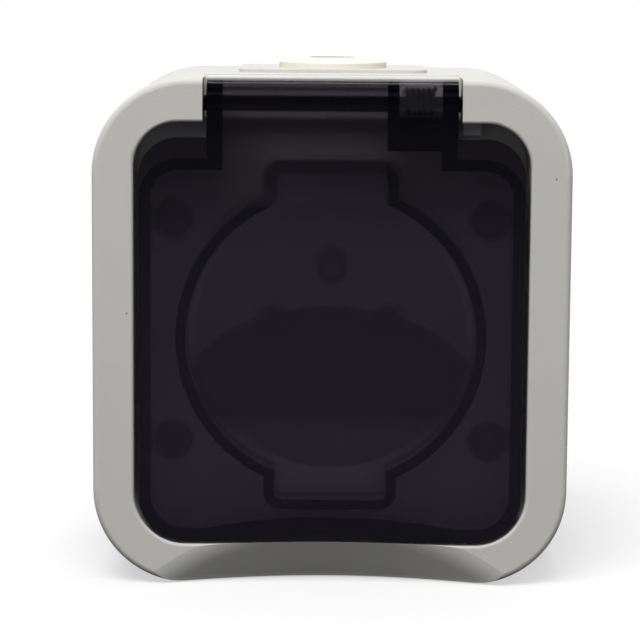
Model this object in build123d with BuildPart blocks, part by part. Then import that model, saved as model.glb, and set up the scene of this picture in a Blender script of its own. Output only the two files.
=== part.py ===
"""Outdoor weatherproof socket: wall box, cover frame with a sprung smoked lid, and an earthed plug pot.

Lengths are in millimetres. The origin is the middle of the back face, which lies on the wall. +Z is
up, +X is to the right seen from the front, and the front faces -Y. A level is a height above the wall.
"""

import math
import os

from build123d import *

# Housing
width = 75.0
depth = 50.0
corner_radius = 15.0
frame_depth = 17.0
wall = 2.2
back_wall = 2.4
seam_chamfer = 0.5
back_edge_radius = 0.8
front_edge_radius = 1.0

# Joint between the box and the frame
lip_depth = 3.0
lip_thickness = 1.6
lip_clearance = 0.2
seal_height = 1.5
seal_width = 1.2
seal_clearance = 0.05

# Frame opening, hinge notch and front plate
rim_side = 6.5
rim_top = 6.8
rim_bottom = 6.4
opening_top_radius = 7.0
opening_bottom_radius = 8.0
opening_edge_radius = 0.5
recess_depth = 11.0
plate_thickness = 2.0
notch_half_width = 20.2
notch_depth = 15.0
notch_wall = 2.2
core_width = 2.4
core_length = 40.0
rim_skin = 2.2
stop_rib_width = 2.7
stop_rib_side_gap = 0.5
stop_rib_height = 4.5
stop_rib_clearance = 0.2

# Finger scoop in the lower front edge
scoop_radius = 48.0
scoop_rise = 11.8
scoop_blend_radius = 8.0
scoop_angle = 33.0
scoop_lead = 0.05

# Lid
lid_side_gap = 0.8
lid_shoulder_gap = 2.4
lid_head_margin = 5.0
lid_foot_margin = 5.75
lid_bottom_gap = 0.45
lid_tab_gap = 0.6
lid_plate = 2.0
lid_skirt_depth = 8.0
lid_skirt_wall = 1.8
lid_shoulder_inset = 3.3
lid_foot_depth = 6.0
lid_foot_height = 3.8
lid_foot_radius = 100.0
cheek_thickness = 2.5
hinge_block_width = 11.0
rib_thickness = 1.6

# Hinge
barrel_radius = 4.0
pin_radius = 1.25
pin_seat_depth = 4.0
pin_seat_clearance = 0.03
pin_bore_clearance = 0.08

# Lid spring
spring_wire = 0.7
spring_coil_radius = 2.3
spring_turns = 5
spring_pitch = 0.85
spring_pocket_clearance = 0.45
spring_pocket_wall = 1.8
spring_tail = 1.2

# Plug pot and its collar
pot_radius = 21.6
pot_wall = 1.5
pot_depth = 16.0
pot_floor = 4.0
collar_set_back = 7.0
collar_top = 2.0
collar_margin = 1.3
collar_clearance = 0.3
flange_width = 1.2
flange_thickness = 1.8
seal_land = 1.1
lug_half_width = 9.7
lug_corner_radius = 2.0
lug_reach = 0.7
insert_post_radius = 2.6
insert_post_gap = 0.2
lid_seal_depth = 1.5
lid_seal_proud = 0.6
lid_seal_width = 2.0
lid_seal_gap = 0.2

# Contacts
contact_spacing = 19.0
contact_hole_radius = 2.75
contact_lead = 0.35
contact_end_gap = 1.0
contact_grip = 5.0
contact_sheet = 0.8
contact_slit = 0.9
earth_pin_radius = 2.4
earth_pin_offset = 10.0
earth_pin_length = 14.0
earth_tip_radius = 1.9
earth_shank_radius = 2.0
earth_flange_radius = 3.6
earth_flange_thickness = 1.5
fit_clearance = 0.1
strap_width = 6.0

# Contact carrier and terminals
carrier_back_space = 3.1
carrier_front_wall = 1.5
carrier_lid_thickness = 1.5
pocket_clearance = 0.3
terminal_width = 6.4
terminal_height = 6.4
terminal_offset = 11.8
wire_radius = 1.6
terminal_screw_radius = 1.75
terminal_head_radius = 2.6
terminal_head_height = 2.2
terminal_head_gap = 0.5
carrier_screw_x = 16.0
carrier_screw_z = 6.5
carrier_screw_radius = 1.45
carrier_head_radius = 2.5
carrier_head_height = 1.7
carrier_screw_grip = 2.6

# Cover screws
cover_screw_inset = 5.5
cover_screw_radius = 1.75
cover_head_radius = 3.2
cover_head_height = 2.2
cover_head_sink = 3.5
cover_boss_radius = 4.4
cover_boss_gap = 0.6
cover_post_radius = 4.0
cover_screw_reach = 12.0
screw_clearance = 0.05
head_clearance = 0.2
drive_width = 0.9
drive_depth = 1.1

# Wall fixing and cable entries
fixing_x = 22.0
fixing_z = 31.0
fixing_hole_radius = 2.25
fixing_seal_radius = 3.4
fixing_seal_flange = 4.2
fixing_seal_lip = 1.2
fixing_collar_radius = 4.4
fixing_collar_height = 2.0
entry_level = 15.0
pad_width = 31.0
pad_depth = 24.0
pad_height = 0.5
pad_corner_radius = 3.0
entry_radius = 7.2
grommet_radius = 9.0
grommet_crown_radius = 6.0
grommet_bore_radius = 4.0
grommet_rim = 0.9
grommet_height = 1.7
grommet_lip = 1.5
grommet_clearance = 0.1
knockout_radius = 8.0
knockout_groove = 0.8

# Levels above the wall
base_depth = depth - frame_depth
recess_floor = depth - recess_depth
plate_back = recess_floor - plate_thickness
notch_floor = depth - notch_depth
hinge_level = depth - barrel_radius
collar_level = depth - collar_set_back
flange_back = plate_back - flange_thickness
pot_level = collar_level - pot_depth
carrier_front = pot_level - pot_floor
carrier_floor = carrier_front - carrier_front_wall
carrier_lid_back = back_wall + carrier_back_space
carrier_back = carrier_lid_back + carrier_lid_thickness
contact_back = carrier_back + contact_end_gap
strap_back = carrier_floor - contact_sheet
terminal_back = carrier_back + terminal_head_height + terminal_head_gap
wire_level = (strap_back + terminal_back) / 2
seal_level = base_depth - seal_height
cover_head_seat = recess_floor - cover_head_sink
lid_back = depth - lid_plate
skirt_end = depth - lid_skirt_depth
rib_end = collar_level + lid_seal_proud + lid_seal_gap

# Heights and half widths
pot_outer_radius = pot_radius + pot_wall
ring_radius = pot_radius + seal_land + lid_seal_width / 2
flange_radius = ring_radius + collar_margin + flange_width
insert_post_offset = pot_outer_radius + insert_post_radius + insert_post_gap
lug_half_height = insert_post_offset + lug_reach
lid_height = lid_head_margin + 2 * lug_half_height + lid_foot_margin
height = rim_top + lid_shoulder_gap + lid_height + lid_bottom_gap + rim_bottom
top = height / 2
hinge_z = top - barrel_radius
opening_half_width = width / 2 - rim_side
opening_top = top - rim_top
opening_bottom = rim_bottom - top
lid_half_width = opening_half_width - lid_side_gap
lid_shoulder = opening_top - lid_shoulder_gap
lid_bottom = opening_bottom + lid_bottom_gap
socket_z = lid_bottom + lid_foot_margin + lug_half_height
tab_half_width = notch_half_width - lid_tab_gap
skirt_top = lid_shoulder - lid_shoulder_inset
cheek_inner = tab_half_width - cheek_thickness
block_left = tab_half_width - hinge_block_width
contact_x = contact_spacing / 2
cover_screw_x = opening_half_width - cover_screw_inset
cover_screw_z = math.sqrt((flange_radius + cover_boss_radius + cover_boss_gap) ** 2 - cover_screw_x**2)
lip_inset = wall + lip_clearance
hollow_inset = lip_inset + lip_thickness
terminal_z = socket_z - terminal_offset


def level(distance):
    """Plane parallel to the wall at a height above it, facing the front, with X right and Z up."""
    return Plane.XZ.offset(distance)


def housing_outline(inset):
    """Rounded outline of the housing, drawn in by an inset."""
    RectangleRounded(width - 2 * inset, height - 2 * inset, corner_radius - inset)


def lug_outline(margin, mode=Mode.ADD):
    """Sealing path of the pot, a circle with a lug above and below, grown by a margin."""
    with Locations((0, socket_z)):
        Circle(ring_radius + margin, mode=mode)
        RectangleRounded(
            2 * (lug_half_width + margin),
            2 * (lug_half_height + margin),
            lug_corner_radius + margin,
            mode=mode,
        )


def cover_screw_places():
    """Four cover screws about the pot's centre."""
    return [(x, socket_z + z) for x in (-cover_screw_x, cover_screw_x) for z in (-cover_screw_z, cover_screw_z)]


def insert_post_places():
    """One post behind each lug."""
    return [(0, socket_z - insert_post_offset), (0, socket_z + insert_post_offset)]


def carrier_screw_places():
    """Two carrier screws beside the earth pin."""
    return [(-carrier_screw_x, socket_z + carrier_screw_z), (carrier_screw_x, socket_z + carrier_screw_z)]


def terminal_places():
    """Live, earth and neutral terminals, in one row below the contacts."""
    return [(-contact_x, terminal_z), (0, terminal_z), (contact_x, terminal_z)]


def slotted_screw(places, seat, radius, reach, head_radius, head_height, outwards):
    """Slotted pan-head screws: head on its seat, shank the other way, outwards +1 front or -1 back."""
    with BuildPart() as screws:
        with BuildSketch(level(seat)):
            with Locations(*places):
                Circle(head_radius)
        extrude(amount=outwards * head_height)
        chamfer(screws.edges().group_by(Axis.Y)[0 if outwards > 0 else -1], head_height / 4)
        with BuildSketch(level(seat + outwards * head_height)):
            with Locations(*places):
                Rectangle(2 * head_radius, drive_width)
        extrude(amount=-outwards * drive_depth, mode=Mode.SUBTRACT)
        with BuildSketch(level(seat)):
            with Locations(*places):
                Circle(radius)
        extrude(amount=-outwards * reach)
        chamfer(screws.edges().group_by(Axis.Y)[-1 if outwards > 0 else 0], radius / 2)
    return screws


# Wall box: open tray with screw posts, wall fixings, a top cable entry and a bottom knock-out
with BuildPart() as base_box:
    with BuildSketch(level(0)):
        housing_outline(0)
    extrude(amount=base_depth)
    chamfer(base_box.edges().group_by(Axis.Y)[0], seam_chamfer)
    fillet(base_box.edges().group_by(Axis.Y)[-1], back_edge_radius)
    with BuildSketch(level(back_wall)):
        housing_outline(wall)
    extrude(amount=base_depth - back_wall, mode=Mode.SUBTRACT)
    with BuildSketch(level(seal_level)):
        housing_outline(wall - seal_width)
    extrude(amount=seal_height, mode=Mode.SUBTRACT)
    with BuildSketch(level(back_wall)):
        with Locations(*cover_screw_places()):
            Circle(cover_post_radius)
    extrude(amount=base_depth - back_wall)
    with BuildSketch(level(base_depth - cover_screw_reach)):
        with Locations(*cover_screw_places()):
            Circle(cover_screw_radius + screw_clearance)
    extrude(amount=cover_screw_reach, mode=Mode.SUBTRACT)
    with BuildSketch(level(back_wall)):
        with Locations(*insert_post_places()):
            Circle(insert_post_radius)
    extrude(amount=flange_back - back_wall)
    with BuildSketch(level(back_wall)):
        with GridLocations(2 * fixing_x, 2 * fixing_z, 2, 2):
            Circle(fixing_collar_radius)
    extrude(amount=fixing_collar_height)
    with BuildSketch(level(0)):
        with GridLocations(2 * fixing_x, 2 * fixing_z, 2, 2):
            Circle(fixing_seal_radius)
    extrude(amount=back_wall + fixing_collar_height, mode=Mode.SUBTRACT)
    with BuildSketch(Plane.XY.offset(top)):
        with Locations((0, -entry_level)):
            RectangleRounded(pad_width, pad_depth, pad_corner_radius)
    extrude(amount=pad_height)
    with BuildSketch(Plane.XY.offset(top - wall)):
        with Locations((0, -entry_level)):
            Circle(entry_radius)
    extrude(amount=wall + pad_height, mode=Mode.SUBTRACT)
    with BuildSketch(Plane.XY.offset(-top)):
        with Locations((0, -entry_level)):
            Circle(knockout_radius)
            Circle(knockout_radius - knockout_groove, mode=Mode.SUBTRACT)
    extrude(amount=wall / 2, mode=Mode.SUBTRACT)

# Soft ring in the rebate of the box, under the frame
with BuildPart() as box_seal:
    with BuildSketch(level(seal_level)):
        housing_outline(wall - seal_width + seal_clearance)
        RectangleRounded(width - 2 * wall, height - 2 * wall, corner_radius - wall, mode=Mode.SUBTRACT)
    extrude(amount=seal_height)

# Soft washers that line the wall-fixing holes, each with a flange on its collar
fixing_collar_level = back_wall + fixing_collar_height
with BuildPart() as wall_seals:
    with BuildSketch(level(0)):
        with GridLocations(2 * fixing_x, 2 * fixing_z, 2, 2):
            Circle(fixing_seal_radius - seal_clearance)
    extrude(amount=fixing_collar_level)
    with BuildSketch(level(fixing_collar_level)):
        with GridLocations(2 * fixing_x, 2 * fixing_z, 2, 2):
            Circle(fixing_seal_flange)
    extrude(amount=fixing_seal_lip)
    with BuildSketch(level(0)):
        with GridLocations(2 * fixing_x, 2 * fixing_z, 2, 2):
            Circle(fixing_hole_radius)
    extrude(amount=fixing_collar_level + fixing_seal_lip, mode=Mode.SUBTRACT)

# Ring of material that the finger scoop takes away: a front blend that runs into a straight slope.
# The blend starts a little ahead of the front face, so that the two faces cross
slope = math.radians(scoop_angle)
blend_run = scoop_blend_radius * math.sin(slope)
blend_drop = scoop_blend_radius * (1 - math.cos(slope))
scoop_axis_z = scoop_rise - top - scoop_radius
scoop_front_z = scoop_axis_z + scoop_radius
scoop_low_z = -top - rim_bottom
slope_drop = blend_drop + (scoop_front_z - blend_run - scoop_low_z) * math.tan(slope) - scoop_lead
with BuildPart() as finger_scoop:
    with BuildSketch(Plane.YZ):
        with BuildLine():
            blend = CenterArc(
                (-depth - scoop_lead + scoop_blend_radius, scoop_front_z), scoop_blend_radius, 180, scoop_angle
            )
            Polyline(
                blend @ 1,
                (-depth + slope_drop, scoop_low_z),
                (-depth - front_edge_radius, scoop_low_z),
                (-depth - front_edge_radius, scoop_front_z),
                blend @ 0,
            )
        make_face()
    revolve(axis=Axis((0, 0, scoop_axis_z), (0, 1, 0)))

# Cover frame: deep rim round the lid, front plate with the pot's opening, hinge notch, screw wells and a
# short rib beside the notch
with BuildPart() as front_frame:
    with BuildSketch(level(base_depth)):
        housing_outline(0)
    extrude(amount=depth - base_depth)
    fillet(front_frame.edges().group_by(Axis.Y)[0], front_edge_radius)
    chamfer(front_frame.edges().group_by(Axis.Y)[-1], seam_chamfer)
    with BuildSketch(level(base_depth - lip_depth)):
        housing_outline(lip_inset)
    extrude(amount=lip_depth)
    with BuildSketch(level(base_depth - lip_depth)):
        housing_outline(hollow_inset)
    extrude(amount=plate_back - base_depth + lip_depth, mode=Mode.SUBTRACT)
    with BuildSketch(level(recess_floor)) as lid_opening:
        with Locations((0, (opening_top + opening_bottom) / 2)):
            Rectangle(2 * opening_half_width, opening_top - opening_bottom)
        fillet(lid_opening.vertices().group_by(Axis.Y)[-1], opening_top_radius)
        fillet(lid_opening.vertices().group_by(Axis.Y)[0], opening_bottom_radius)
    extrude(amount=recess_depth, mode=Mode.SUBTRACT)
    opening_edges = front_frame.edges().filter_by_position(Axis.Y, -depth, -depth).filter_by(
        lambda edge: abs(edge.center().X) < opening_half_width + opening_edge_radius
        and opening_bottom - opening_edge_radius < edge.center().Z < opening_top + opening_edge_radius
    )
    fillet(opening_edges, opening_edge_radius)
    with BuildSketch(level(base_depth)):
        with Locations((0, opening_top - notch_wall)):
            Rectangle(
                2 * (notch_half_width + notch_wall),
                top - hollow_inset - opening_top + notch_wall,
                align=(Align.CENTER, Align.MIN),
            )
    extrude(amount=recess_floor - base_depth)
    with BuildSketch(level(notch_floor)):
        with Locations((0, opening_top)):
            Rectangle(2 * notch_half_width, 2 * rim_top, align=(Align.CENTER, Align.MIN))
    extrude(amount=notch_depth, mode=Mode.SUBTRACT)
    with BuildSketch(level(plate_back)):
        lug_outline(collar_margin + collar_clearance)
    extrude(amount=plate_thickness, mode=Mode.SUBTRACT)
    with BuildSketch(level(base_depth)):
        with Locations(*cover_screw_places()):
            Circle(cover_boss_radius)
    extrude(amount=plate_back - base_depth)
    with BuildSketch(level(cover_head_seat)):
        with Locations(*cover_screw_places()):
            Circle(cover_head_radius + head_clearance)
    extrude(amount=recess_floor - cover_head_seat, mode=Mode.SUBTRACT)
    with BuildSketch(level(base_depth)):
        with Locations(*cover_screw_places()):
            Circle(cover_screw_radius + screw_clearance)
    extrude(amount=cover_head_seat - base_depth, mode=Mode.SUBTRACT)
    for side in (-1, 1):
        with BuildSketch(Plane.YZ.offset(side * notch_half_width)):
            with Locations((-hinge_level, hinge_z)):
                Circle(pin_radius + pin_seat_clearance)
        extrude(amount=side * pin_seat_depth, mode=Mode.SUBTRACT)
    with BuildSketch(level(recess_floor)):
        with Locations((notch_half_width + stop_rib_side_gap, lid_shoulder + stop_rib_clearance)):
            Rectangle(stop_rib_width, lid_shoulder_gap, align=(Align.MIN, Align.MIN))
    extrude(amount=stop_rib_height)
    with BuildSketch(level(base_depth)):
        with Locations((-width / 2 + rim_side / 2, 0), (width / 2 - rim_side / 2, 0)):
            SlotOverall(core_length, core_width, rotation=90)
    extrude(amount=depth - base_depth - rim_skin, mode=Mode.SUBTRACT)
    add(finger_scoop.part, mode=Mode.SUBTRACT)

# Lid: smoked plate with a skirt, a thick scooped foot, the sealing rib and the hinge tab
with BuildPart() as lid:
    with BuildSketch(level(lid_back)) as lid_face:
        with Locations((0, (lid_shoulder + lid_bottom) / 2)):
            Rectangle(2 * lid_half_width, lid_shoulder - lid_bottom)
        fillet(lid_face.vertices().group_by(Axis.Y)[-1], opening_top_radius - lid_side_gap)
        fillet(lid_face.vertices().group_by(Axis.Y)[0], opening_bottom_radius - lid_side_gap)
    extrude(amount=lid_plate)
    with BuildSketch(level(skirt_end)) as skirt:
        with Locations((0, (skirt_top + lid_bottom) / 2)):
            Rectangle(2 * lid_half_width, skirt_top - lid_bottom)
        fillet(skirt.vertices().group_by(Axis.Y)[-1], opening_top_radius - lid_side_gap)
        fillet(skirt.vertices().group_by(Axis.Y)[0], opening_bottom_radius - lid_side_gap)
        offset(amount=-lid_skirt_wall, mode=Mode.SUBTRACT)
        with Locations((0, skirt_top)):
            Rectangle(2 * cheek_inner, 4 * lid_skirt_wall, mode=Mode.SUBTRACT)
    extrude(amount=lid_back - skirt_end)
    with BuildSketch(level(depth - lid_foot_depth)):
        with Locations((0, lid_bottom)):
            Rectangle(
                2 * (lid_half_width - opening_bottom_radius),
                lid_foot_height,
                align=(Align.CENTER, Align.MIN),
            )
        with Locations((0, lid_bottom + lid_foot_height - lid_foot_radius)):
            Circle(lid_foot_radius, mode=Mode.INTERSECT)
    extrude(amount=lid_foot_depth - lid_plate)
    with BuildSketch(level(rib_end)):
        lug_outline(rib_thickness / 2)
        lug_outline(-rib_thickness / 2, mode=Mode.SUBTRACT)
    extrude(amount=lid_back - rib_end)
    with BuildSketch(Plane.YZ.offset(-tab_half_width)):
        with Locations((-hinge_level, hinge_z)):
            Circle(barrel_radius)
            Rectangle(2 * barrel_radius, hinge_z - lid_shoulder + lid_plate, align=(Align.CENTER, Align.MAX))
    extrude(amount=2 * tab_half_width)
    with BuildSketch(Plane.YZ.offset(-cheek_inner)):
        with Locations((-hinge_level, hinge_z)):
            Circle(barrel_radius - lid_plate)
            Rectangle(2 * barrel_radius, 2 * barrel_radius, align=(Align.MIN, Align.MIN))
        with Locations((-lid_back, hinge_z)):
            Rectangle(2 * barrel_radius, 4 * barrel_radius, align=(Align.MIN, Align.MAX))
    extrude(amount=cheek_inner + block_left, mode=Mode.SUBTRACT)
    for side in (-1, 1):
        with BuildSketch(level(skirt_end)):
            with Locations((side * (tab_half_width - cheek_thickness / 2), skirt_top - lid_skirt_wall)):
                Rectangle(cheek_thickness, hinge_z - skirt_top + lid_skirt_wall, align=(Align.CENTER, Align.MIN))
        extrude(amount=lid_back - skirt_end)
    with BuildSketch(Plane.YZ.offset(block_left + spring_pocket_wall)):
        with Locations((-hinge_level, hinge_z)):
            pocket_radius = spring_coil_radius + spring_wire / 2 + spring_pocket_clearance
            Circle(pocket_radius)
            Rectangle(2 * barrel_radius, 2 * pocket_radius, align=(Align.MIN, Align.CENTER))
    extrude(amount=hinge_block_width - spring_pocket_wall - cheek_thickness, mode=Mode.SUBTRACT)
    with BuildSketch(Plane.YZ.offset(-tab_half_width)):
        with Locations((-hinge_level, hinge_z)):
            Circle(pin_radius + pin_bore_clearance)
    extrude(amount=2 * tab_half_width, mode=Mode.SUBTRACT)
    add(finger_scoop.part, mode=Mode.SUBTRACT)

# Steel hinge pin, held at both ends in the walls of the notch
pin_half_length = notch_half_width + pin_seat_depth - pin_seat_clearance
with BuildPart() as hinge_pin:
    with BuildSketch(Plane.YZ.offset(-pin_half_length)):
        with Locations((-hinge_level, hinge_z)):
            Circle(pin_radius)
    extrude(amount=2 * pin_half_length)
    chamfer(hinge_pin.edges().filter_by(GeomType.CIRCLE), pin_radius / 4)

# Torsion spring round the pin: closed coil, one leg on the notch floor and one on the lid's hinge block
spring_length = spring_turns * spring_pitch
spring_left = (block_left + spring_pocket_wall + tab_half_width - cheek_thickness - spring_length) / 2
with BuildPart() as lid_spring:
    with BuildLine():
        coil = Helix(
            spring_pitch,
            spring_length,
            spring_coil_radius,
            center=(spring_left, -hinge_level, hinge_z),
            direction=(1, 0, 0),
        )
    with BuildSketch(Plane(coil @ 0, z_dir=coil % 0)):
        Circle(spring_wire / 2)
    sweep(path=coil, is_frenet=True)
    with BuildSketch(Plane(coil @ 0, z_dir=coil % 0)):
        Circle(spring_wire / 2)
    extrude(amount=notch_floor - hinge_level)
    with BuildSketch(Plane(coil @ 1, z_dir=coil % 1)):
        Circle(spring_wire / 2)
    extrude(amount=spring_tail)

# Plug pot: round well with a collar that stands through the frame's plate, and a flange behind it
with BuildPart() as socket_insert:
    with BuildSketch(level(flange_back)):
        lug_outline(collar_margin + flange_width)
    extrude(amount=flange_thickness)
    with BuildSketch(level(plate_back)):
        lug_outline(collar_margin)
    extrude(amount=collar_level - plate_back)
    with BuildSketch(level(flange_back)):
        lug_outline(collar_margin - pot_wall)
    extrude(amount=collar_level - collar_top - flange_back, mode=Mode.SUBTRACT)
    with BuildSketch(level(carrier_front)):
        with Locations((0, socket_z)):
            Circle(pot_outer_radius)
    extrude(amount=collar_level - carrier_front)
    with BuildSketch(level(pot_level)):
        with Locations((0, socket_z)):
            Circle(pot_radius)
    extrude(amount=pot_depth, mode=Mode.SUBTRACT)
    with BuildSketch(level(collar_level - lid_seal_depth)):
        lug_outline(lid_seal_width / 2)
        lug_outline(-lid_seal_width / 2, mode=Mode.SUBTRACT)
    extrude(amount=lid_seal_depth, mode=Mode.SUBTRACT)
    with BuildSketch(level(carrier_front)):
        with Locations((-contact_x, socket_z), (contact_x, socket_z)):
            Circle(contact_hole_radius)
        with Locations((0, socket_z + earth_pin_offset)):
            Circle(earth_shank_radius + fit_clearance)
    extrude(amount=pot_floor, mode=Mode.SUBTRACT)
    with BuildSketch(level(carrier_front)):
        with Locations(*carrier_screw_places()):
            Circle(carrier_screw_radius + screw_clearance)
    extrude(amount=carrier_screw_grip, mode=Mode.SUBTRACT)

# Soft ring in the collar's groove, standing a little proud for the lid's rib
with BuildPart() as lid_seal:
    with BuildSketch(level(collar_level - lid_seal_depth)):
        lug_outline(lid_seal_width / 2 - seal_clearance)
        lug_outline(seal_clearance - lid_seal_width / 2, mode=Mode.SUBTRACT)
    extrude(amount=lid_seal_depth + lid_seal_proud)

# Moulded carrier behind the pot, with chambers that open to the back
contact_width = contact_grip + 2 * contact_sheet
contact_chamber = contact_width + 2 * pocket_clearance
chamber_width = terminal_width + 2 * pocket_clearance
chamber_height = terminal_height + 2 * pocket_clearance
with BuildPart() as contact_carrier:
    with BuildSketch(level(carrier_back)):
        with Locations((0, socket_z)):
            Circle(pot_outer_radius)
    extrude(amount=carrier_front - carrier_back)
    with BuildSketch(level(carrier_back)):
        with Locations(*terminal_places()):
            Rectangle(chamber_width, chamber_height)
        for side in (-1, 1):
            with Locations((side * contact_x, socket_z)):
                Rectangle(contact_chamber, contact_chamber)
                Rectangle(contact_chamber, terminal_offset, align=(Align.CENTER, Align.MAX))
        with Locations((0, socket_z + earth_pin_offset)):
            Circle(earth_flange_radius + pocket_clearance)
            Rectangle(
                strap_width + 2 * pocket_clearance,
                earth_pin_offset + terminal_offset,
                align=(Align.CENTER, Align.MAX),
            )
    extrude(amount=carrier_floor - carrier_back, mode=Mode.SUBTRACT)
    with BuildSketch(level(carrier_floor)):
        with Locations((-contact_x, socket_z), (contact_x, socket_z)):
            Circle(contact_hole_radius + contact_lead)
        with Locations((0, socket_z + earth_pin_offset)):
            Circle(earth_shank_radius + fit_clearance)
    extrude(amount=carrier_front_wall, mode=Mode.SUBTRACT)
    with BuildSketch(level(carrier_back)):
        with Locations(*carrier_screw_places()):
            Circle(carrier_screw_radius + screw_clearance)
    extrude(amount=carrier_front - carrier_back, mode=Mode.SUBTRACT)
    with BuildSketch(Plane.XY.offset(socket_z - pot_outer_radius)):
        with Locations(*[(x, -wire_level) for x, z in terminal_places()]):
            Circle(wire_radius)
    extrude(amount=pot_outer_radius - terminal_offset, mode=Mode.SUBTRACT)

# Back cover of the carrier, with driver holes over the terminal screws and a post that backs the earth pin
with BuildPart() as carrier_lid:
    with BuildSketch(level(carrier_lid_back)):
        with Locations((0, socket_z)):
            Circle(pot_outer_radius)
        with Locations(*terminal_places()):
            Circle(terminal_head_radius + head_clearance, mode=Mode.SUBTRACT)
        with Locations(*carrier_screw_places()):
            Circle(carrier_screw_radius + screw_clearance, mode=Mode.SUBTRACT)
    extrude(amount=carrier_lid_thickness)
    with BuildSketch(level(carrier_back)):
        with Locations((0, socket_z + earth_pin_offset)):
            Circle(earth_pin_radius)
    extrude(amount=strap_back - earth_flange_thickness - carrier_back)


def pin_contact(x):
    """Sprung contact: folded square sleeve for a plug pin, with a slit and a tail that runs to its terminal."""
    with BuildPart() as contact:
        with BuildSketch(level(contact_back)):
            with Locations((x, socket_z)):
                RectangleRounded(contact_width, contact_width, contact_sheet)
        extrude(amount=carrier_floor - contact_back)
        with BuildSketch(level(strap_back)):
            with Locations((x, socket_z)):
                Rectangle(
                    contact_grip,
                    terminal_offset + terminal_height / 2,
                    align=(Align.CENTER, Align.MAX),
                )
        extrude(amount=contact_sheet)
        with BuildSketch(level(contact_back)):
            with Locations((x, socket_z)):
                Rectangle(contact_grip, contact_grip)
                Rectangle(contact_slit, contact_width, align=(Align.CENTER, Align.MIN))
        extrude(amount=carrier_floor - contact_back, mode=Mode.SUBTRACT)
    return contact


def clamp_terminal(place):
    """Brass clamp block: wire bore from below, screw bore from the back."""
    with BuildPart() as terminal:
        with BuildSketch(level(terminal_back)):
            with Locations(place):
                Rectangle(terminal_width, terminal_height)
        extrude(amount=strap_back - terminal_back)
        chamfer(terminal.edges().filter_by(Axis.Y), contact_sheet / 2)
        with BuildSketch(Plane.XY.offset(place[1] - terminal_height / 2)):
            with Locations((place[0], -wire_level)):
                Circle(wire_radius)
        extrude(amount=terminal_height, mode=Mode.SUBTRACT)
        with BuildSketch(level(terminal_back)):
            with Locations(place):
                Circle(terminal_screw_radius + screw_clearance)
        extrude(amount=wire_level - terminal_back, mode=Mode.SUBTRACT)
    return terminal


live_contact = pin_contact(-contact_x)
neutral_contact = pin_contact(contact_x)
live_terminal, earth_terminal, neutral_terminal = [clamp_terminal(place) for place in terminal_places()]

# Earth pin: domed tip, a shoulder on the pot's floor, and a riveted flange behind the strap
with BuildPart() as earth_pin:
    with BuildSketch(level(strap_back - earth_flange_thickness)):
        with Locations((0, socket_z + earth_pin_offset)):
            Circle(earth_flange_radius)
    extrude(amount=earth_flange_thickness)
    with BuildSketch(level(strap_back)):
        with Locations((0, socket_z + earth_pin_offset)):
            Circle(earth_shank_radius)
    extrude(amount=pot_level - strap_back)
    with BuildSketch(level(pot_level)):
        with Locations((0, socket_z + earth_pin_offset)):
            Circle(earth_pin_radius)
    extrude(amount=earth_pin_length)
    fillet(earth_pin.edges().group_by(Axis.Y)[0], earth_tip_radius)

# Earth strap from the pin down to the middle terminal
with BuildPart() as earth_strap:
    with BuildSketch(level(strap_back)):
        with Locations((0, socket_z + earth_pin_offset)):
            Circle(earth_flange_radius)
            Rectangle(
                strap_width,
                earth_pin_offset + terminal_offset + terminal_height / 2,
                align=(Align.CENTER, Align.MAX),
            )
            Circle(earth_shank_radius + fit_clearance, mode=Mode.SUBTRACT)
    extrude(amount=contact_sheet)

# Screws
cover_screws = slotted_screw(
    cover_screw_places(),
    cover_head_seat,
    cover_screw_radius,
    cover_head_seat - base_depth + cover_screw_reach - 2 * cover_screw_radius,
    cover_head_radius,
    cover_head_height,
    1,
)
terminal_screws = slotted_screw(
    terminal_places(),
    terminal_back,
    terminal_screw_radius,
    wire_level - wire_radius - terminal_back,
    terminal_head_radius,
    terminal_head_height,
    -1,
)
carrier_screws = slotted_screw(
    carrier_screw_places(),
    carrier_lid_back,
    carrier_screw_radius,
    carrier_front - carrier_lid_back + carrier_screw_grip - carrier_screw_radius / 2,
    carrier_head_radius,
    carrier_head_height,
    -1,
)

# Cable grommet: domed crown on the pad, a neck through the wall and a lip inside
neck_top = top + pad_height
neck_bottom = top - wall
with BuildPart() as cable_grommet:
    with BuildSketch(Plane.XZ.offset(entry_level)):
        with BuildLine():
            rim = Polyline(
                (grommet_bore_radius, neck_bottom - grommet_lip),
                (entry_radius - grommet_clearance, neck_bottom - grommet_lip),
                (grommet_radius - grommet_rim, neck_bottom),
                (entry_radius - grommet_clearance, neck_bottom),
                (entry_radius - grommet_clearance, neck_top),
                (grommet_radius, neck_top),
                (grommet_radius, neck_top + grommet_rim),
            )
            crown = Spline(
                rim @ 1,
                (grommet_crown_radius, neck_top + grommet_height),
                tangents=[(-1, 1), (-1, 0)],
            )
            Polyline(crown @ 1, (grommet_bore_radius, neck_top + grommet_height), rim @ 0)
        make_face()
    revolve(axis=Axis((0, -entry_level, 0), (0, 0, 1)))

pieces = {
    "base_box": base_box,
    "front_frame": front_frame,
    "box_seal": box_seal,
    "wall_seals": wall_seals,
    "lid": lid,
    "hinge_pin": hinge_pin,
    "lid_spring": lid_spring,
    "socket_insert": socket_insert,
    "lid_seal": lid_seal,
    "contact_carrier": contact_carrier,
    "carrier_lid": carrier_lid,
    "live_contact": live_contact,
    "neutral_contact": neutral_contact,
    "live_terminal": live_terminal,
    "neutral_terminal": neutral_terminal,
    "earth_terminal": earth_terminal,
    "earth_pin": earth_pin,
    "earth_strap": earth_strap,
    "cover_screws": cover_screws,
    "terminal_screws": terminal_screws,
    "carrier_screws": carrier_screws,
    "cable_grommet": cable_grommet,
}

os.makedirs("parts", exist_ok=True)
for name, piece in pieces.items():
    piece.part.label = name
    export_step(piece.part, f"parts/{name}.step")
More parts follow.
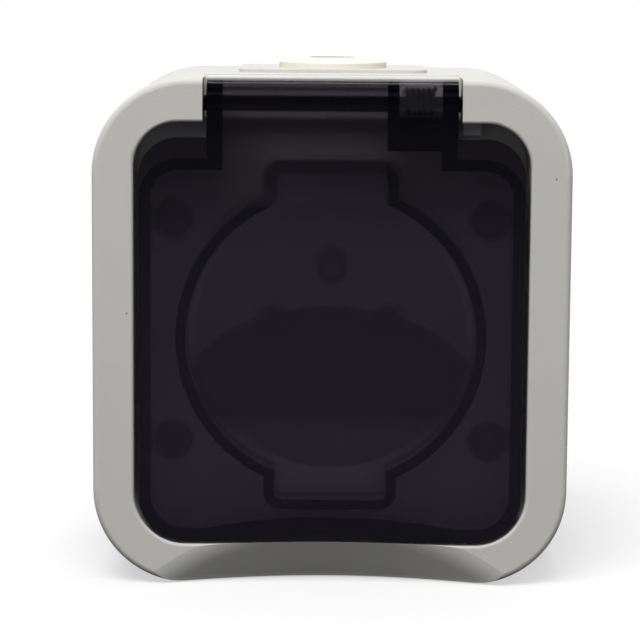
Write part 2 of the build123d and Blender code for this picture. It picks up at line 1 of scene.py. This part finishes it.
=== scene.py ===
"""Outdoor weatherproof socket: finishes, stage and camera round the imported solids.

Lengths are in metres in the solids' own frame: the wall is the plane y = 0, the front faces -Y, +Z is up.
"""

import math

import bpy
import numpy as np
from bpy.props import FloatProperty, FloatVectorProperty, PointerProperty
from bpy.types import Operator, Panel, PropertyGroup
from mathutils import Matrix, Vector


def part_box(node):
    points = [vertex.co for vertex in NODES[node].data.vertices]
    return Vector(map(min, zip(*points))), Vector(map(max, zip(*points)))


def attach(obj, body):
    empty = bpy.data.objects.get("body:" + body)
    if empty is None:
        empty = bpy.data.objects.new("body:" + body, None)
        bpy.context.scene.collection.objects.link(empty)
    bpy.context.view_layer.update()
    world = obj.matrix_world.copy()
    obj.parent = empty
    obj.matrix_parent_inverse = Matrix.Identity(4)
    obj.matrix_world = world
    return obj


bl_info = {
    "name": "Outdoor Weatherproof Socket",
    "version": (1, 0, 0),
    "blender": (4, 5, 0),
    "location": "View3D > Sidebar > Socket",
    "description": "Dresses a surface-mounted outdoor socket with a smoked lid",
    "category": "Object",
}

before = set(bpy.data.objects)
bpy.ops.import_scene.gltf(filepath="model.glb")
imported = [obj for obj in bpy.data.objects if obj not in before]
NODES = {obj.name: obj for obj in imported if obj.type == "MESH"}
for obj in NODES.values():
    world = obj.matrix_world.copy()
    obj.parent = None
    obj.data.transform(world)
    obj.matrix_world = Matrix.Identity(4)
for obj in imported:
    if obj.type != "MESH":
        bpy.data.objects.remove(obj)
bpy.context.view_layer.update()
WHITE = (1.0, 1.0, 1.0, 1.0)

# Places taken from the frame
FRONT_LEVEL = -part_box("front_frame")[0].y
FLOOR_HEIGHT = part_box("front_frame")[0].z
RING_HEIGHT = (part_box("lid_seal")[0].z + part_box("lid_seal")[1].z) / 2

# Inside of the lid, where the painted shade in the ring lies: its rib, its inner face and how far off that
# face still counts as on it
RING_INNER_RADIUS = 0.0229
INNER_FACE = -0.048
FACE_MARGIN = 0.0003

# Texture of moulded plastic
MOTTLE_SCALE = 90.0
MOTTLE_DETAIL = 3.0
MOTTLE_LOW = 0.3
MOTTLE_HIGH = 0.7
SPECK_SCALE = 140.0
SPECK_COLOUR = (0.12, 0.11, 0.10, 1.0)
GRAIN_SCALE = 2200.0
GRAIN_DETAIL = 2.0

# Floor, a hair below the socket, and the card, a hair above the floor, from under the frame to overhead
FLOOR_HALF_SIDE = 6.0
FLOOR_DROP = 0.0002
CARD_LIFT = 0.0005
CARD_UNDERLAP = 0.02
CARD_FAR = -1.6
CARD_TOP = 1.0
CARD_BACK = 0.6
CARD_HALF_WIDTH = 1.5

# Camera
SENSOR_WIDTH = 36.0
CLIP_START = 0.01
PICTURE_SIDE = 640


def colour_property(name, description, default):
    """A linear RGB colour that a user may change."""
    return FloatVectorProperty(
        name=name, description=description, subtype="COLOR", size=3, min=0.0, max=1.0, default=default
    )


def share_property(name, description, default):
    """A share from 0 to 1."""
    return FloatProperty(
        name=name, description=description, subtype="FACTOR", min=0.0, max=1.0, default=default
    )


def length_property(name, description, default):
    """A length in metres."""
    return FloatProperty(name=name, description=description, unit="LENGTH", precision=5, default=default)


def vector_property(name, description, default):
    """A place in metres."""
    return FloatVectorProperty(
        name=name, description=description, subtype="TRANSLATION", precision=5, size=3, default=default
    )


def angle_property(name, description, degrees):
    """An angle, given in degrees."""
    return FloatProperty(name=name, description=description, subtype="ANGLE", default=math.radians(degrees))


def power_property(name, description, default):
    """A lamp's power in watts."""
    return FloatProperty(name=name, description=description, unit="POWER", min=0.0, default=default)


def number_property(name, description, default):
    """A plain number."""
    return FloatProperty(name=name, description=description, default=default)


class SocketFinishes(PropertyGroup):
    """Colours and gloss of the socket's own pieces, with painted shade in the lid's tints and the darkest
    metals.
    """

    housing_grey: colour_property("Housing grey", "Moulded grey of frame and box", (0.60, 0.594, 0.565))
    insert_grey: colour_property("Insert grey", "Moulded grey of the plug pot", (0.84, 0.83, 0.81))
    housing_roughness: share_property("Housing roughness", "Roughness of the moulded grey", 0.55)
    mottle: share_property("Mottle", "Slow change of tone in moulded plastic", 0.03)
    speck_size: share_property("Speck size", "Size of the rare dark specks in the housing's grey", 0.02)
    grain_height: length_property("Grain height", "Depth of the fine moulded grain", 0.00002)
    notch_block_low: vector_property(
        "Notch block low corner", "Lowest corner of the block that closes the notch behind the hinge",
        (-0.02018, -0.0408, 0.0332),
    )
    notch_block_high: vector_property(
        "Notch block high corner", "Highest corner of the block that closes the notch behind the hinge",
        (0.02018, -0.0350, 0.03995),
    )
    notch_block_edge: length_property("Notch block edge", "Radius of the block's long edges", 0.0004)

    smoke_tint: colour_property("Smoke tint", "What the lid's plastic lets through", (0.20, 0.156, 0.252))
    smoke_density: number_property("Smoke density", "How fast the lid takes up light, per metre", 890.0)
    lid_refraction: number_property("Lid refraction", "Refractive index of the lid's plastic", 1.5)
    lid_haze: share_property("Lid haze", "How much the smoked plastic blurs what is behind it", 0.20)
    lid_polish: share_property("Lid polish", "Roughness of the lid's polished skin", 0.06)
    # Painted shade: the hinge tab and, fading in below its shoulder, the lid's upper part get a darker tint.
    # It stands in for the shade the frame's top rim casts into the recess behind. On the tab it also hides
    # the hinge pin and spring.
    tab_painted_shade: colour_property("Tab shade", "Tint of the lid's hinge tab", (0.48, 0.48, 0.48))
    tab_height: length_property("Tab height", "Height of the hinge tab above the lid's shoulder", 0.0092)
    tab_fade: length_property("Tab fade", "Height below the shoulder over which its tint sets in", 0.021)
    # Painted shade: a darker oval tint on the lid's inner face, inside the ring, stands in for a patch of
    # shade in the plug pot behind it.
    ring_painted_shade: colour_property("Field shade", "Tint of the darker field in the ring", (0.02, 0.02, 0.02))
    field_half_width: length_property("Field half width", "Half the width of the field's oval", 0.0243)
    field_half_height: length_property("Field half height", "Half the height of the field's oval", 0.0157)
    field_top: length_property("Field top", "Height of the darker field's upper edge", 0.0048)
    field_foot: length_property("Field foot", "Height where the darker field has faded away", -0.0172)
    field_fade: length_property("Field fade", "Height over which the field's lower edge fades", 0.0045)
    field_edge: length_property("Field edge", "Softness of the field's upper edge", 0.0010)

    seal_grey: colour_property("Seal grey", "Soft rubber of the seals", (0.30, 0.30, 0.30))
    grommet_cream: colour_property("Grommet cream", "Off-white rubber of the grommet", (0.80, 0.77, 0.68))
    rubber_roughness: share_property("Rubber roughness", "Roughness of the soft parts", 0.7)
    rubber_mottle: share_property("Rubber mottle", "Slow change of tone in the soft parts", 0.05)

    carrier_black: colour_property("Carrier black", "Moulding that holds the contacts", (0.10, 0.10, 0.11))
    carrier_roughness: share_property("Carrier roughness", "Roughness of the contacts' moulding", 0.5)
    brass: colour_property("Brass", "Contacts and terminals", (0.75, 0.56, 0.28))
    brass_roughness: share_property("Brass roughness", "Roughness of contacts and terminals", 0.3)
    # Painted shade: the earth pin's metal is near-black, standing in for the shade it sits in deep in the
    # plug pot.
    nickel: colour_property("Nickel", "Earth pin metal, darkened for the pot's shade", (0.13, 0.12, 0.11))
    nickel_roughness: share_property("Nickel roughness", "Roughness of the earth pin", 0.5)
    steel: colour_property("Steel", "Zinc-plated screws inside the box", (0.60, 0.60, 0.61))
    steel_roughness: share_property("Steel roughness", "Roughness of the zinc-plated screws", 0.35)
    # Painted shade: the cover screws, spring and hinge pin get near-black metal, standing in for the shade in
    # the screw wells and inside the hinge tab.
    dark_steel: colour_property(
        "Dark steel", "Near-black cover screws, spring and hinge pin", (0.03, 0.03, 0.032)
    )
    dark_steel_roughness: share_property("Dark steel roughness", "Roughness of the near-black steel", 0.45)


class SocketStage(PropertyGroup):
    """Lamps, floor and camera."""

    key_power: power_property("Key power", "Wide soft lamp above and in front of the socket", 11.0)
    key_place: vector_property("Key place", "Middle of the key lamp", (-0.14, -0.53, 0.88))
    key_side: length_property("Key side", "Side of the square key lamp", 0.6)
    back_power: power_property("Back power", "Soft lamp above and behind the socket", 3.0)
    back_place: vector_property("Back place", "Middle of the back lamp", (0.35, 0.9, 0.7))
    back_side: length_property("Back side", "Side of the square back lamp", 0.6)
    glint_power: power_property("Glint power", "Weak strip lamp for the hinge's bright line", 0.30)
    glint_place: vector_property("Glint place", "Middle of the glint lamp", (0.0, 0.24, 0.93))
    glint_width: length_property("Glint width", "Long side of the glint lamp", 0.6)
    glint_depth: length_property("Glint depth", "Short side of the glint lamp", 0.15)
    sky_grey: number_property("Sky", "Brightness of the room round the socket", 0.45)
    card_colour: colour_property("Card colour", "Card that the lid reflects", (0.078, 0.071, 0.098))
    card_far: colour_property("Card far end", "Far end, which the lid's top reflects", (0.045, 0.042, 0.057))
    card_fade_start: length_property("Card fade start", "Place where the card starts to darken", -0.20)
    card_fade_end: length_property("Card fade end", "Place where the card is darkest", -1.0)
    floor_white: colour_property("Floor white", "Pale floor", (0.82, 0.82, 0.82))
    floor_bounce: colour_property("Floor bounce", "Floor seen by the socket's underside", (0.06, 0.06, 0.06))
    fade_start: length_property("Fade start", "Distance at which the floor starts to turn plain white", 0.04)
    fade_end: length_property("Fade end", "Distance at which the floor is plain white", 0.12)
    shadow_strength: share_property("Shadow strength", "How dark the shadow on the floor is kept", 0.6)
    camera_distance: length_property("Camera distance", "From the middle of the front to the camera", 0.400)
    camera_elevation: angle_property("Camera elevation", "Height of the camera above the front's middle", 8.2)
    camera_roll: angle_property("Camera roll", "Turn of the camera about its own axis", 0.4)
    camera_lens: number_property("Lens", "Focal length on a 36 mm sensor, in mm", 143.5)
    middle_right: number_property("Middle right", "Front's middle, pixels right of centre", 11.0)
    middle_down: number_property("Middle down", "Front's middle, pixels below centre", 15.0)


def finishes():
    """The scene's finish values."""
    return bpy.context.scene.socket_finishes


def stage_values():
    """The scene's stage values."""
    return bpy.context.scene.socket_stage


def opaque(colour):
    """RGB with full alpha."""
    return (*colour, 1.0)


def calculate(tree, operation, first, second=0.0):
    """Result of a Math node on a socket and a socket or plain number, which a root leaves unused."""
    node = tree.nodes.new("ShaderNodeMath")
    node.operation = operation
    tree.links.new(first, node.inputs[0])
    if isinstance(second, float):
        node.inputs[1].default_value = second
    else:
        tree.links.new(second, node.inputs[1])
    return node.outputs["Value"]


def ramp(tree, value, start, end, low=0.0):
    """Smooth rise of a value from low at the start to one at the end."""
    node = tree.nodes.new("ShaderNodeMapRange")
    node.interpolation_type = "SMOOTHSTEP"
    node.inputs["From Min"].default_value = start
    node.inputs["From Max"].default_value = end
    node.inputs["To Min"].default_value = low
    tree.links.new(value, node.inputs["Value"])
    return node.outputs["Result"]


def shaded(tree, colour, shade, mask):
    """A colour that turns into a shade where the mask is one."""
    tint = tree.nodes.new("ShaderNodeMix")
    tint.data_type = "RGBA"
    tint.inputs["B"].default_value = opaque(shade)
    tree.links.new(mask, tint.inputs["Factor"])
    if isinstance(colour, tuple):
        tint.inputs["A"].default_value = colour
    else:
        tree.links.new(colour, tint.inputs["A"])
    return tint.outputs["Result"]


def object_axes(tree):
    """The piece's own X, Y and Z."""
    place = tree.nodes.new("ShaderNodeTexCoord")
    axes = tree.nodes.new("ShaderNodeSeparateXYZ")
    tree.links.new(place.outputs["Object"], axes.inputs["Vector"])
    return axes


def new_material(name):
    """An empty node material with a Principled surface: returns the material, its tree and the shader."""
    material = bpy.data.materials.new(name)
    material.use_nodes = True
    tree = material.node_tree
    tree.nodes.clear()
    shader = tree.nodes.new("ShaderNodeBsdfPrincipled")
    output = tree.nodes.new("ShaderNodeOutputMaterial")
    tree.links.new(shader.outputs["BSDF"], output.inputs["Surface"])
    return material, tree, shader


def dress(material, *names):
    """Gives CAD nodes one material."""
    for name in names:
        mesh = NODES[name].data
        mesh.materials.clear()
        mesh.materials.append(material)


def moulding_group():
    """Node group for moulded plastic: slow mottling of a colour, rare dark specks and a fine grain height."""
    name = "Moulded plastic"
    if name in bpy.data.node_groups:
        return bpy.data.node_groups[name]
    group = bpy.data.node_groups.new(name, "ShaderNodeTree")
    for label, way, kind in (
        ("Vector", "INPUT", "NodeSocketVector"),
        ("Colour", "INPUT", "NodeSocketColor"),
        ("Mottle", "INPUT", "NodeSocketFloat"),
        ("Specks", "INPUT", "NodeSocketFloat"),
        ("Colour", "OUTPUT", "NodeSocketColor"),
        ("Height", "OUTPUT", "NodeSocketFloat"),
    ):
        group.interface.new_socket(label, in_out=way, socket_type=kind)
    nodes, links = group.nodes, group.links
    given = nodes.new("NodeGroupInput")
    result = nodes.new("NodeGroupOutput")

    mottle = nodes.new("ShaderNodeTexNoise")
    mottle.inputs["Scale"].default_value = MOTTLE_SCALE
    mottle.inputs["Detail"].default_value = MOTTLE_DETAIL
    links.new(given.outputs["Vector"], mottle.inputs["Vector"])
    darkest = nodes.new("ShaderNodeMath")
    darkest.operation = "SUBTRACT"
    darkest.inputs[0].default_value = 1.0
    links.new(given.outputs["Mottle"], darkest.inputs[1])
    shade = nodes.new("ShaderNodeMapRange")
    shade.inputs["From Min"].default_value = MOTTLE_LOW
    shade.inputs["From Max"].default_value = MOTTLE_HIGH
    shade.inputs["To Min"].default_value = 1.0
    links.new(darkest.outputs["Value"], shade.inputs["To Max"])
    links.new(mottle.outputs["Fac"], shade.inputs["Value"])
    tinted = nodes.new("ShaderNodeMix")
    tinted.data_type = "RGBA"
    tinted.blend_type = "MULTIPLY"
    tinted.inputs["Factor"].default_value = 1.0
    links.new(given.outputs["Colour"], tinted.inputs["A"])
    links.new(shade.outputs["Result"], tinted.inputs["B"])

    cells = nodes.new("ShaderNodeTexVoronoi")
    cells.inputs["Scale"].default_value = SPECK_SCALE
    links.new(given.outputs["Vector"], cells.inputs["Vector"])
    speck = calculate(group, "LESS_THAN", cells.outputs["Distance"], given.outputs["Specks"])
    dirty = nodes.new("ShaderNodeMix")
    dirty.data_type = "RGBA"
    dirty.inputs["B"].default_value = SPECK_COLOUR
    links.new(speck, dirty.inputs["Factor"])
    links.new(tinted.outputs["Result"], dirty.inputs["A"])
    links.new(dirty.outputs["Result"], result.inputs["Colour"])

    grain = nodes.new("ShaderNodeTexNoise")
    grain.inputs["Scale"].default_value = GRAIN_SCALE
    grain.inputs["Detail"].default_value = GRAIN_DETAIL
    links.new(given.outputs["Vector"], grain.inputs["Vector"])
    links.new(grain.outputs["Fac"], result.inputs["Height"])
    return group


def moulded(name, colour, roughness, mottle, specks=0.0):
    """Matte moulded plastic or rubber."""
    material, tree, shader = new_material(name)
    place = tree.nodes.new("ShaderNodeTexCoord")
    surface = tree.nodes.new("ShaderNodeGroup")
    surface.node_tree = moulding_group()
    surface.inputs["Colour"].default_value = opaque(colour)
    surface.inputs["Mottle"].default_value = mottle
    surface.inputs["Specks"].default_value = specks
    tree.links.new(place.outputs["Object"], surface.inputs["Vector"])
    tree.links.new(surface.outputs["Colour"], shader.inputs["Base Color"])
    bump = tree.nodes.new("ShaderNodeBump")
    bump.inputs["Distance"].default_value = finishes().grain_height
    tree.links.new(surface.outputs["Height"], bump.inputs["Height"])
    tree.links.new(bump.outputs["Normal"], shader.inputs["Normal"])
    shader.inputs["Roughness"].default_value = roughness
    return material


def metal(name, colour, roughness):
    """Plated or rolled metal with a plain finish."""
    material, _, shader = new_material(name)
    shader.inputs["Base Color"].default_value = opaque(colour)
    shader.inputs["Metallic"].default_value = 1.0
    shader.inputs["Roughness"].default_value = roughness
    return material


def rounded_bar(name, low, high, radius, steps=6):
    """Bar along X: a rounded rectangle, with a quarter circle about each inset corner, from end to end."""
    low, high = np.array(low), np.array(high)
    inner_low, inner_high = low[1:] + radius, high[1:] - radius
    pick = np.array([(1, 1), (0, 1), (0, 0), (1, 0)])
    corners = np.where(pick == 1, inner_high, inner_low)
    angles = np.arange(4)[:, None] * np.pi / 2 + np.linspace(0.0, np.pi / 2, steps)
    rounds = radius * np.stack([np.cos(angles), np.sin(angles)], axis=-1)
    profile = (corners[:, None, :] + rounds).reshape(-1, 2)
    count = len(profile)
    ends = [np.column_stack([np.full(count, end), profile]) for end in (low[0], high[0])]
    here = np.arange(count)
    after = np.roll(here, -1)
    sides = np.column_stack([here, after, after + count, here + count])
    caps = [here[::-1].tolist(), (here + count).tolist()]
    mesh = bpy.data.meshes.new(name)
    mesh.from_pydata(np.concatenate(ends).tolist(), [], sides.tolist() + caps)
    piece = bpy.data.objects.new(name, mesh)
    bpy.context.scene.collection.objects.link(piece)
    return piece


class SOCKET_OT_housing(Operator):
    """Grey grained finish of frame and wall box, and the block that closes the notch behind the hinge"""

    bl_idname = "socket.housing"
    bl_label = "Finish Housing"

    def execute(self, context):
        values = finishes()
        grey = moulded(
            "Grey housing", values.housing_grey, values.housing_roughness, values.mottle, values.speck_size
        )
        dress(grey, "front_frame", "base_box")
        block = rounded_bar(
            "notch_block", values.notch_block_low, values.notch_block_high, values.notch_block_edge
        )
        block.data.materials.append(grey)
        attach(block, "housing")
        return {"FINISHED"}


class SOCKET_OT_insert(Operator):
    """Grey finish of the plug pot"""

    bl_idname = "socket.insert"
    bl_label = "Finish Plug Pot"

    def execute(self, context):
        values = finishes()
        grey = moulded("Grey insert", values.insert_grey, values.housing_roughness, values.mottle)
        dress(grey, "socket_insert")
        return {"FINISHED"}


def distance_from(tree, axes, height, stretch=1.0):
    """Distance from a point of the middle line, seen from the front and with heights stretched."""
    rise = calculate(tree, "MULTIPLY", calculate(tree, "SUBTRACT", axes.outputs["Z"], height), stretch)
    rise_squared = calculate(tree, "MULTIPLY", rise, rise)
    across_squared = calculate(tree, "MULTIPLY", axes.outputs["X"], axes.outputs["X"])
    return calculate(tree, "SQRT", calculate(tree, "ADD", across_squared, rise_squared))


def tab_painted_shade_mask(tree, axes, values):
    """Where the lid gets its painted shade: the hinge tab above the shoulder, with a soft start below it."""
    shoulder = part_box("lid")[1].z - values.tab_height
    return ramp(tree, axes.outputs["Z"], shoulder - values.tab_fade, shoulder)


def ring_shade_mask(tree, axes, values):
    """Painted shade on the lid's inner face: inside the ring, under a wide oval arc, fading out below."""
    stretch = values.field_half_width / values.field_half_height
    reach = distance_from(tree, axes, values.field_top - values.field_half_height, stretch)
    arc = ramp(tree, reach, values.field_half_width, values.field_half_width - values.field_edge)
    ring = calculate(tree, "LESS_THAN", distance_from(tree, axes, RING_HEIGHT), RING_INNER_RADIUS)
    foot = ramp(tree, axes.outputs["Z"], values.field_foot, values.field_foot + values.field_fade)
    inner = calculate(tree, "GREATER_THAN", axes.outputs["Y"], INNER_FACE - FACE_MARGIN)
    outline = calculate(tree, "MULTIPLY", arc, ring)
    return calculate(tree, "MULTIPLY", outline, calculate(tree, "MULTIPLY", foot, inner))


class SOCKET_OT_lid(Operator):
    """Smoked clear finish of the lid, with painted shade tinted into its ring and hinge tab"""

    bl_idname = "socket.lid"
    bl_label = "Finish Lid"

    def execute(self, context):
        values = finishes()
        material, tree, shader = new_material("Smoked lid")
        axes = object_axes(tree)
        # Painted shade: darker tints inside the ring and over the hinge tab and upper lid.
        field = shaded(tree, WHITE, values.ring_painted_shade, ring_shade_mask(tree, axes, values))
        tinted = shaded(tree, field, values.tab_painted_shade, tab_painted_shade_mask(tree, axes, values))
        tree.links.new(tinted, shader.inputs["Base Color"])
        shader.inputs["Roughness"].default_value = values.lid_haze
        shader.inputs["Coat Weight"].default_value = 1.0
        shader.inputs["Coat Roughness"].default_value = values.lid_polish
        shader.inputs["IOR"].default_value = values.lid_refraction
        shader.inputs["Transmission Weight"].default_value = 1.0
        smoke = tree.nodes.new("ShaderNodeVolumeAbsorption")
        smoke.inputs["Color"].default_value = opaque(values.smoke_tint)
        smoke.inputs["Density"].default_value = values.smoke_density
        output = next(node for node in tree.nodes if node.type == "OUTPUT_MATERIAL")
        tree.links.new(smoke.outputs["Volume"], output.inputs["Volume"])
        dress(material, "lid")
        return {"FINISHED"}


class SOCKET_OT_soft_parts(Operator):
    """Rubber finish of the seals and the cable grommet"""

    bl_idname = "socket.soft_parts"
    bl_label = "Finish Seals and Grommet"

    def execute(self, context):
        values = finishes()
        seal = moulded("Seal rubber", values.seal_grey, values.rubber_roughness, values.rubber_mottle)
        dress(seal, "lid_seal", "box_seal", "wall_seals")
        cream = moulded("Grommet rubber", values.grommet_cream, values.rubber_roughness, values.rubber_mottle)
        dress(cream, "cable_grommet")
        return {"FINISHED"}


class SOCKET_OT_works(Operator):
    """Finish of the contact carrier and of all metal parts"""

    bl_idname = "socket.works"
    bl_label = "Finish Contacts and Screws"

    def execute(self, context):
        values = finishes()
        carrier = moulded("Carrier plastic", values.carrier_black, values.carrier_roughness, values.mottle)
        dress(carrier, "contact_carrier", "carrier_lid")
        brass = metal("Contact brass", values.brass, values.brass_roughness)
        dress(brass, "live_contact", "neutral_contact", "live_terminal", "neutral_terminal")
        dress(brass, "earth_terminal", "earth_strap")
        # Painted shade: the earth pin is near-black for the shade deep in the pot.
        dress(metal("Darkened earth pin metal", values.nickel, values.nickel_roughness), "earth_pin")
        zinc = metal("Zinc-plated steel", values.steel, values.steel_roughness)
        dress(zinc, "terminal_screws", "carrier_screws")
        # Painted shade: near-black metal for the shade in the screw wells and inside the hinge tab.
        black = metal("Near-black steel", values.dark_steel, values.dark_steel_roughness)
        dress(black, "cover_screws", "hinge_pin", "lid_spring")
        return {"FINISHED"}


def light_path_switch(tree):
    """One where a camera, mirror or see-through ray looks, and zero for soft light on the socket."""
    path = tree.nodes.new("ShaderNodeLightPath")
    seen = path.outputs["Is Camera Ray"]
    for ray in ("Is Glossy Ray", "Is Transmission Ray"):
        seen = calculate(tree, "MAXIMUM", seen, path.outputs[ray])
    return seen


def flat_panel(name, corners, faces):
    """A stage panel of four-cornered faces."""
    mesh = bpy.data.meshes.new(name)
    mesh.from_pydata(corners, [], faces)
    panel = bpy.data.objects.new(name, mesh)
    bpy.context.scene.collection.objects.link(panel)
    return panel


def two_way_matte(name, lit, seen):
    """Matte material with one colour for soft light on the socket and one where it is looked at.

    Returns the material, its tree, the surface that is looked at and the node that mixes both.
    """
    material = bpy.data.materials.new(name)
    material.use_nodes = True
    tree = material.node_tree
    tree.nodes.clear()
    bounce = tree.nodes.new("ShaderNodeBsdfDiffuse")
    bounce.inputs["Color"].default_value = opaque(lit)
    plain = tree.nodes.new("ShaderNodeBsdfDiffuse")
    plain.inputs["Color"].default_value = opaque(seen)
    mix = tree.nodes.new("ShaderNodeMixShader")
    output = tree.nodes.new("ShaderNodeOutputMaterial")
    tree.links.new(light_path_switch(tree), mix.inputs["Fac"])
    tree.links.new(bounce.outputs["BSDF"], mix.inputs[1])
    tree.links.new(plain.outputs["BSDF"], mix.inputs[2])
    tree.links.new(mix.outputs["Shader"], output.inputs["Surface"])
    return material, tree, plain, mix


def add_floor(values):
    """Pale floor just under the socket, which turns plain white further out."""
    height = FLOOR_HEIGHT - FLOOR_DROP
    signs = ((-1, -1), (1, -1), (1, 1), (-1, 1))
    corners = [(x * FLOOR_HALF_SIDE, y * FLOOR_HALF_SIDE, height) for x, y in signs]
    floor = flat_panel("Floor", corners, [(0, 1, 2, 3)])
    material, tree, pale, mix = two_way_matte("Pale floor", values.floor_bounce, values.floor_white)
    white = tree.nodes.new("ShaderNodeEmission")
    place = tree.nodes.new("ShaderNodeTexCoord")
    reach = tree.nodes.new("ShaderNodeVectorMath")
    reach.operation = "LENGTH"
    tree.links.new(place.outputs["Object"], reach.inputs[0])
    least = 1.0 - values.shadow_strength
    fade = ramp(tree, reach.outputs["Value"], values.fade_start, values.fade_end, least)
    seen = tree.nodes.new("ShaderNodeMixShader")
    tree.links.new(fade, seen.inputs["Fac"])
    tree.links.new(pale.outputs["BSDF"], seen.inputs[1])
    tree.links.new(white.outputs["Emission"], seen.inputs[2])
    tree.links.new(seen.outputs["Shader"], mix.inputs[2])
    floor.data.materials.append(material)


def add_card(values):
    """Card on the floor, behind the camera and overhead, never in the picture, for the lid to reflect."""
    near = -FRONT_LEVEL + CARD_UNDERLAP
    height = FLOOR_HEIGHT + CARD_LIFT
    path = ((near, height), (CARD_FAR, height), (CARD_FAR, CARD_TOP), (CARD_BACK, CARD_TOP))
    corners = [(side * CARD_HALF_WIDTH, reach, rise) for reach, rise in path for side in (-1, 1)]
    card = flat_panel("Card", corners, [(0, 1, 3, 2), (2, 3, 5, 4), (4, 5, 7, 6)])
    card.visible_camera = False
    card.visible_shadow = False
    card.visible_diffuse = False
    card.visible_transmission = False
    material, tree, seen, _ = two_way_matte("Card", values.floor_bounce, values.card_colour)
    fade = ramp(tree, object_axes(tree).outputs["Y"], values.card_fade_start, values.card_fade_end)
    tree.links.new(shaded(tree, opaque(values.card_colour), values.card_far, fade), seen.inputs["Color"])
    card.data.materials.append(material)


def add_world(values):
    """White where it is looked at, and a dim even room where it only lights the socket."""
    world = bpy.data.worlds.new("Studio")
    bpy.context.scene.world = world
    world.use_nodes = True
    tree = world.node_tree
    background = tree.nodes["Background"]
    background.inputs["Color"].default_value = WHITE
    strength = tree.nodes.new("ShaderNodeMapRange")
    strength.inputs["To Min"].default_value = values.sky_grey
    strength.inputs["To Max"].default_value = 1.0
    tree.links.new(light_path_switch(tree), strength.inputs["Value"])
    tree.links.new(strength.outputs["Result"], background.inputs["Strength"])


def add_lamp(name, place, width, height, power, mirrored):
    """Soft rectangular lamp that faces the socket, mirrored in its polished faces or not."""
    data = bpy.data.lights.new(name, "AREA")
    data.shape = "RECTANGLE"
    data.size = width
    data.size_y = height
    data.energy = power
    lamp = bpy.data.objects.new(name, data)
    lamp.location = place
    target = Vector((0.0, -FRONT_LEVEL / 2, 0.0))
    lamp.rotation_euler = (target - lamp.location).to_track_quat("-Z", "Y").to_euler()
    lamp.visible_glossy = mirrored
    lamp.visible_transmission = mirrored
    bpy.context.scene.collection.objects.link(lamp)


def add_lamps(values):
    """Key and back lamps, which light the socket only, and the glint lamp, which is mirrored in it."""
    key_side, back_side = values.key_side, values.back_side
    add_lamp("Key lamp", values.key_place, key_side, key_side, values.key_power, False)
    add_lamp("Back lamp", values.back_place, back_side, back_side, values.back_power, False)
    add_lamp(
        "Glint lamp", values.glint_place, values.glint_width, values.glint_depth, values.glint_power, True
    )


def add_camera(values):
    """Camera in front and a little above, turned to put the front's middle on its place in the picture."""
    data = bpy.data.cameras.new("Camera")
    data.lens = values.camera_lens
    data.sensor_width = SENSOR_WIDTH
    data.clip_start = CLIP_START
    camera = bpy.data.objects.new("Camera", data)
    middle = Vector((0.0, -FRONT_LEVEL, 0.0))
    rise = values.camera_elevation
    back = Vector((0.0, -math.cos(rise), math.sin(rise)))
    place = middle + values.camera_distance * back
    pixel = data.sensor_width / data.lens / PICTURE_SIDE
    turn = back.to_track_quat("Z", "Y").to_matrix()
    offset = Vector((-values.middle_right, values.middle_down, 0.0)) * pixel * values.camera_distance
    aim = place - middle - turn @ offset
    facing = aim.to_track_quat("Z", "Y").to_matrix().to_4x4()
    camera.matrix_world = Matrix.Translation(place) @ facing @ Matrix.Rotation(values.camera_roll, 4, "Z")
    bpy.context.scene.collection.objects.link(camera)
    bpy.context.scene.camera = camera


class SOCKET_OT_stage(Operator):
    """Floor, card, soft lamps, white surroundings and the camera"""

    bl_idname = "socket.stage"
    bl_label = "Set Stage"

    def execute(self, context):
        values = stage_values()
        add_floor(values)
        add_card(values)
        add_world(values)
        add_lamps(values)
        add_camera(values)
        context.scene.view_settings.view_transform = "Standard"
        return {"FINISHED"}


STEPS = (
    SOCKET_OT_housing,
    SOCKET_OT_insert,
    SOCKET_OT_lid,
    SOCKET_OT_soft_parts,
    SOCKET_OT_works,
    SOCKET_OT_stage,
)


class SOCKET_PT_sidebar(Panel):
    """Lists the steps that dress the socket"""

    bl_idname = "SOCKET_PT_sidebar"
    bl_label = "Weatherproof Socket"
    bl_space_type = "VIEW_3D"
    bl_region_type = "UI"
    bl_category = "Socket"

    def draw(self, context):
        for step in STEPS:
            self.layout.operator(step.bl_idname)


CLASSES = (SocketFinishes, SocketStage, *STEPS, SOCKET_PT_sidebar)


def register():
    """Registers the classes and the scene's values."""
    for each in CLASSES:
        bpy.utils.register_class(each)
    bpy.types.Scene.socket_finishes = PointerProperty(type=SocketFinishes)
    bpy.types.Scene.socket_stage = PointerProperty(type=SocketStage)


def unregister():
    """Takes the scene's values and the classes away again."""
    del bpy.types.Scene.socket_stage
    del bpy.types.Scene.socket_finishes
    for each in reversed(CLASSES):
        bpy.utils.unregister_class(each)


def main():
    """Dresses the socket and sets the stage."""
    register()
    bpy.ops.socket.housing()
    bpy.ops.socket.insert()
    bpy.ops.socket.lid()
    bpy.ops.socket.soft_parts()
    bpy.ops.socket.works()
    bpy.ops.socket.stage()


if __name__ == "__main__":
    main()
